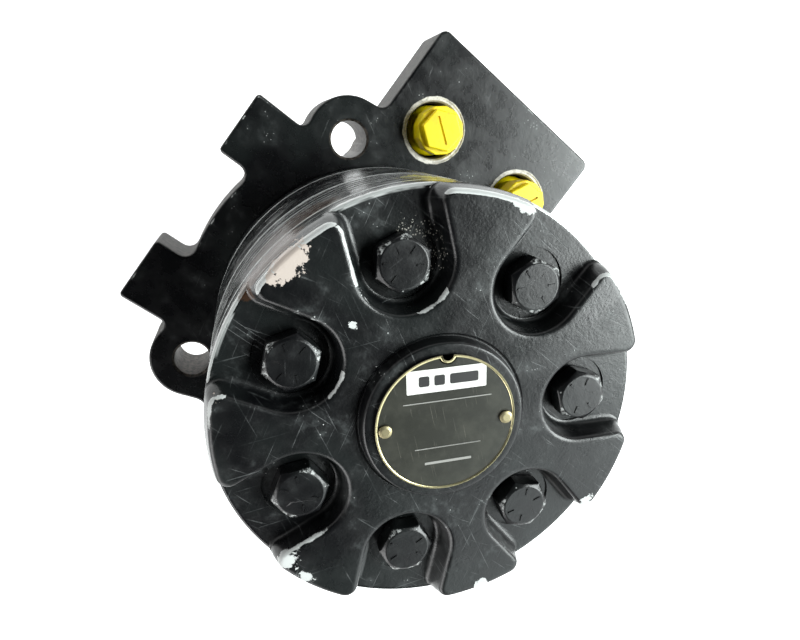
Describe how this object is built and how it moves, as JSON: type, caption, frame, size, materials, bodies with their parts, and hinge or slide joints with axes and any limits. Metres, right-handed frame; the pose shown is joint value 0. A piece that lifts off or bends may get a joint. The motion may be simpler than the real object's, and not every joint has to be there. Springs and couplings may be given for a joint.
{
  "type": "hydraulic motor",
  "caption": "Black low-speed orbit hydraulic motor: bolted round rotor stack and fluted end cover, wheel-mount flange with port block and lugs, yellow plugs, tapered keyed shaft.",
  "frame": {"origin": "centre of the output shaft's free end face, on the shaft axis", "axes": "+Z along the shaft axis, from the shaft's free end up to the end cover; the port block lies toward +Y and the two lugs toward -X"},
  "size_m": [0.1635, 0.1825, 0.2453],
  "materials": {
    "black_paint": "semi-gloss black paint over cast iron and ground steel, chipped and rubbed at its edges",
    "machined_steel": "turned and ground steel",
    "hardened_steel": "ground and hardened bearing steel",
    "black_oxide": "black finish on forged fasteners, rubbed at its corners",
    "bronze": "sintered bronze",
    "brass": "plain brass drive screws",
    "rubber": "matt black nitrile rubber",
    "yellow_plastic": "moulded yellow polyethylene",
    "olive_plate": "dark olive-grey coated brass sheet with a bare rim"
  },
  "bodies": {
    "motor_body": {"housing": "black_paint", "wear_plate": "black_paint", "stator_ring": "black_paint", "manifold": "black_paint", "commutator_ring": "black_paint", "end_cover": "black_paint", "body_seal_1": "rubber", "body_seal_2": "rubber", "body_seal_3": "rubber", "body_seal_4": "rubber", "body_seal_5": "rubber", "cover_bolt_1": "black_oxide", "cover_bolt_2": "black_oxide", "cover_bolt_3": "black_oxide", "cover_bolt_4": "black_oxide", "cover_bolt_5": "black_oxide", "cover_bolt_6": "black_oxide", "cover_bolt_7": "black_oxide", "nameplate": "olive_plate", "nameplate_rivet_1": "brass", "nameplate_rivet_2": "brass", "port_plug_1": "yellow_plastic", "port_plug_2": "yellow_plastic", "front_bearing_shell": "hardened_steel", "rear_bearing_shell": "hardened_steel", "thrust_washer": "hardened_steel", "seal_backup_washer": "machined_steel", "dirt_seal": "rubber", "shaft_seal": "rubber"},
    "shaft": {"output_shaft": "machined_steel", "shaft_key": "machined_steel", "castle_nut": "black_oxide"},
    "valve": {"commutator": "bronze", "commutator_seal": "rubber"},
    "rotor": {"rotor": "machined_steel"},
    "drive_link": {"drive_link": "machined_steel"},
    "front_cage": {"front_needle_cage": "machined_steel"},
    "rear_cage": {"rear_needle_cage": "machined_steel"},
    "thrust_cage": {"thrust_roller_cage": "machined_steel"},
    "vane_1": {"roller_vane_1": "hardened_steel"},
    "vane_2": {"roller_vane_2": "hardened_steel"},
    "vane_3": {"roller_vane_3": "hardened_steel"},
    "vane_4": {"roller_vane_4": "hardened_steel"},
    "vane_5": {"roller_vane_5": "hardened_steel"},
    "vane_6": {"roller_vane_6": "hardened_steel"},
    "vane_7": {"roller_vane_7": "hardened_steel"}
  },
  "joints": [
    {"name": "shaft_spin", "type": "hinge", "parent": "motor_body", "child": "shaft", "pos_m": [0, 0, 0.1], "axis": [0, 0, 1], "continuous": true},
    {"name": "valve_orbit", "type": "hinge", "parent": "motor_body", "child": "valve", "pos_m": [0, 0, 0.219], "axis": [0, 0, 1], "continuous": true},
    {"name": "rotor_spin", "type": "hinge", "parent": "valve", "child": "rotor", "pos_m": [0.0033, 0, 0.17815], "axis": [0, 0, 1], "continuous": true},
    {"name": "link_spin", "type": "hinge", "parent": "valve", "child": "drive_link", "pos_m": [0, 0, 0.118], "axis": [0.0548, 0, 0.9985], "continuous": true},
    {"name": "front_cage_spin", "type": "hinge", "parent": "motor_body", "child": "front_cage", "pos_m": [0, 0, 0.097], "axis": [0, 0, 1], "continuous": true},
    {"name": "rear_cage_spin", "type": "hinge", "parent": "motor_body", "child": "rear_cage", "pos_m": [0, 0, 0.128], "axis": [0, 0, 1], "continuous": true},
    {"name": "thrust_cage_spin", "type": "hinge", "parent": "motor_body", "child": "thrust_cage", "pos_m": [0, 0, 0.1099], "axis": [0, 0, 1], "continuous": true},
    {"name": "vane_1_roll", "type": "hinge", "parent": "motor_body", "child": "vane_1", "pos_m": [-0.01536, 0.03189, 0.17815], "axis": [0, 0, 1], "continuous": true},
    {"name": "vane_2_roll", "type": "hinge", "parent": "motor_body", "child": "vane_2", "pos_m": [-0.03451, 0.00788, 0.17815], "axis": [0, 0, 1], "continuous": true},
    {"name": "vane_3_roll", "type": "hinge", "parent": "motor_body", "child": "vane_3", "pos_m": [-0.02768, -0.02207, 0.17815], "axis": [0, 0, 1], "continuous": true},
    {"name": "vane_4_roll", "type": "hinge", "parent": "motor_body", "child": "vane_4", "pos_m": [0, -0.0354, 0.17815], "axis": [0, 0, 1], "continuous": true},
    {"name": "vane_5_roll", "type": "hinge", "parent": "motor_body", "child": "vane_5", "pos_m": [0.02768, -0.02207, 0.17815], "axis": [0, 0, 1], "continuous": true},
    {"name": "vane_6_roll", "type": "hinge", "parent": "motor_body", "child": "vane_6", "pos_m": [0.03451, 0.00788, 0.17815], "axis": [0, 0, 1], "continuous": true},
    {"name": "vane_7_roll", "type": "hinge", "parent": "motor_body", "child": "vane_7", "pos_m": [0.01536, 0.03189, 0.17815], "axis": [0, 0, 1], "continuous": true}
  ],
  "couplings": [
    {"joint": "valve_orbit", "follows": "shaft_spin", "ratio": -6},
    {"joint": "rotor_spin", "follows": "shaft_spin", "ratio": 7},
    {"joint": "link_spin", "follows": "shaft_spin", "ratio": 7},
    {"joint": "front_cage_spin", "follows": "shaft_spin", "ratio": 0.441},
    {"joint": "rear_cage_spin", "follows": "shaft_spin", "ratio": 0.451},
    {"joint": "thrust_cage_spin", "follows": "shaft_spin", "ratio": 0.5},
    {"joint": "vane_1_roll", "follows": "shaft_spin", "ratio": -5.773},
    {"joint": "vane_2_roll", "follows": "shaft_spin", "ratio": -5.773},
    {"joint": "vane_3_roll", "follows": "shaft_spin", "ratio": -5.773},
    {"joint": "vane_4_roll", "follows": "shaft_spin", "ratio": -5.773},
    {"joint": "vane_5_roll", "follows": "shaft_spin", "ratio": -5.773},
    {"joint": "vane_6_roll", "follows": "shaft_spin", "ratio": -5.773},
    {"joint": "vane_7_roll", "follows": "shaft_spin", "ratio": -5.773}
  ]
}
